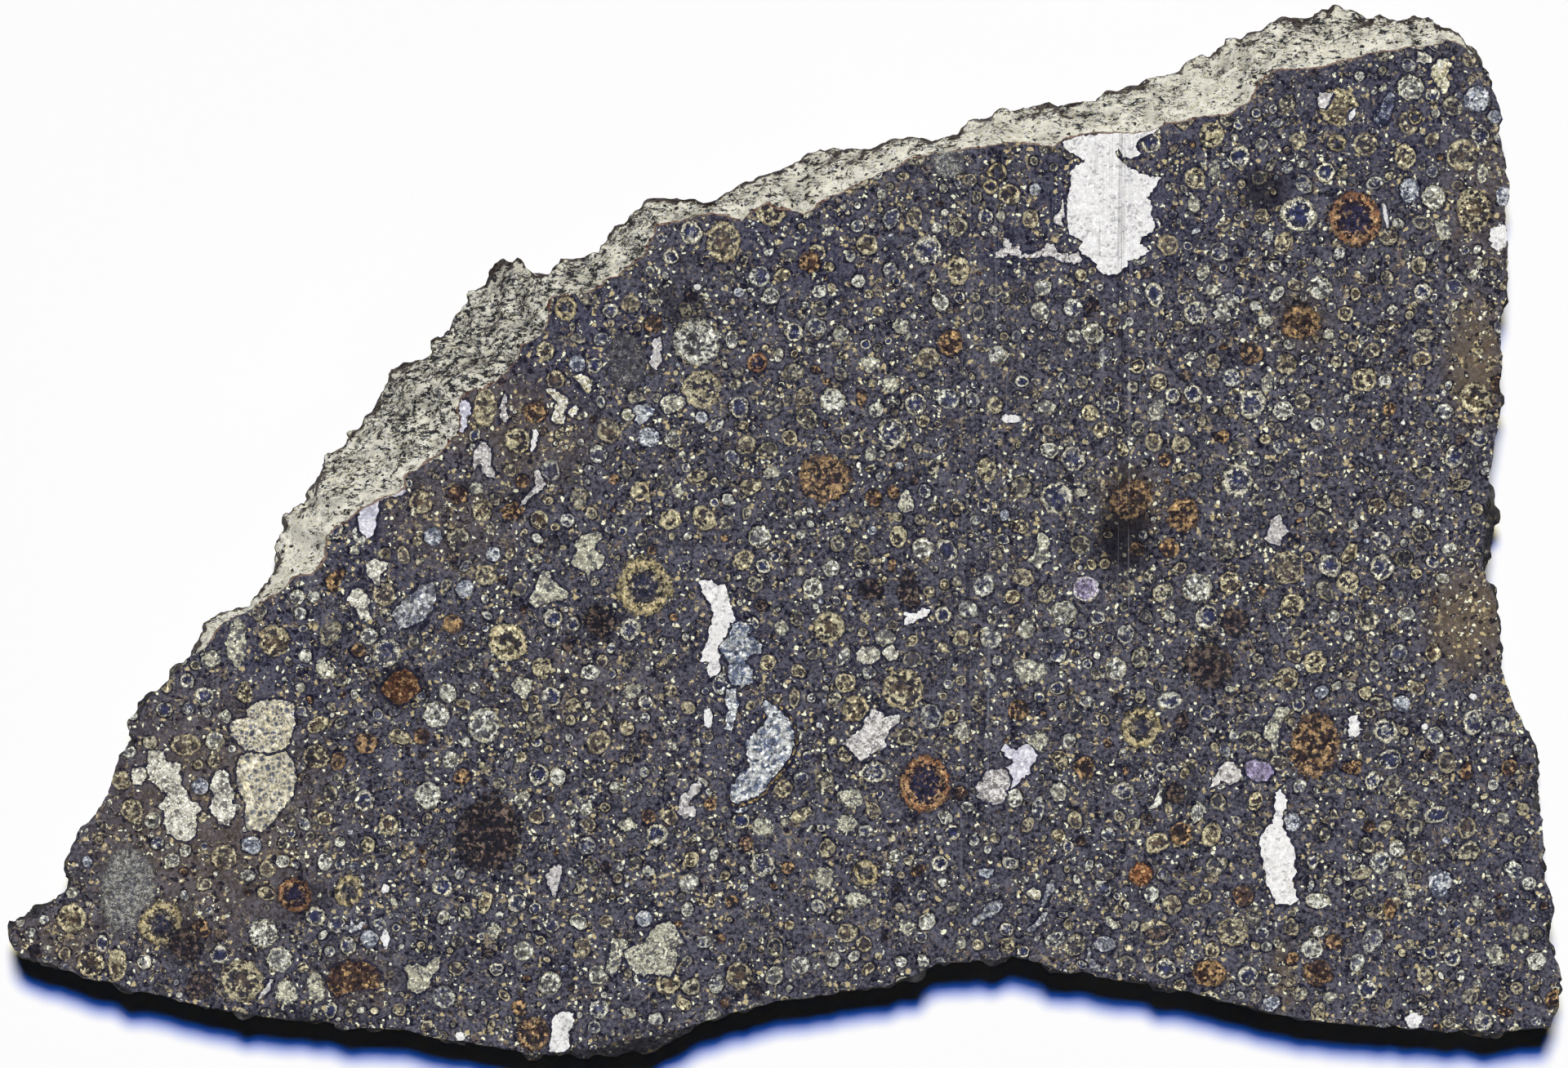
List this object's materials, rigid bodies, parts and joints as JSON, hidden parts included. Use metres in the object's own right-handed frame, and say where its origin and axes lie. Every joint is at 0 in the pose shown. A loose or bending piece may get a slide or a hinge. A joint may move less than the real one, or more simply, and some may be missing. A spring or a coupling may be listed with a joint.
{
  "type": "chondrite meteorite slice",
  "caption": "Flat sawn slice of a chondrite meteorite with a ground front face, a sawn back, broken sides and a strip of natural outer crust along one long edge.",
  "frame": {"origin": "under the middle of the slice's box, on the surface that its sawn back rests on", "axes": "+X along the slice's length, +Y across it towards the crusted edge, +Z out of the ground front face"},
  "size_m": [0.0854, 0.058, 0.007],
  "materials": {
    "meteorite_stone": "Fine grey stone, ground smooth on the front and sawn on the back, packed with round cream, golden, rust and blue grains and a few white ones; the crust is rough and cream coloured."
  },
  "bodies": {
    "root": {"meteorite_slice": "meteorite_stone"}
  },
  "joints": []
}
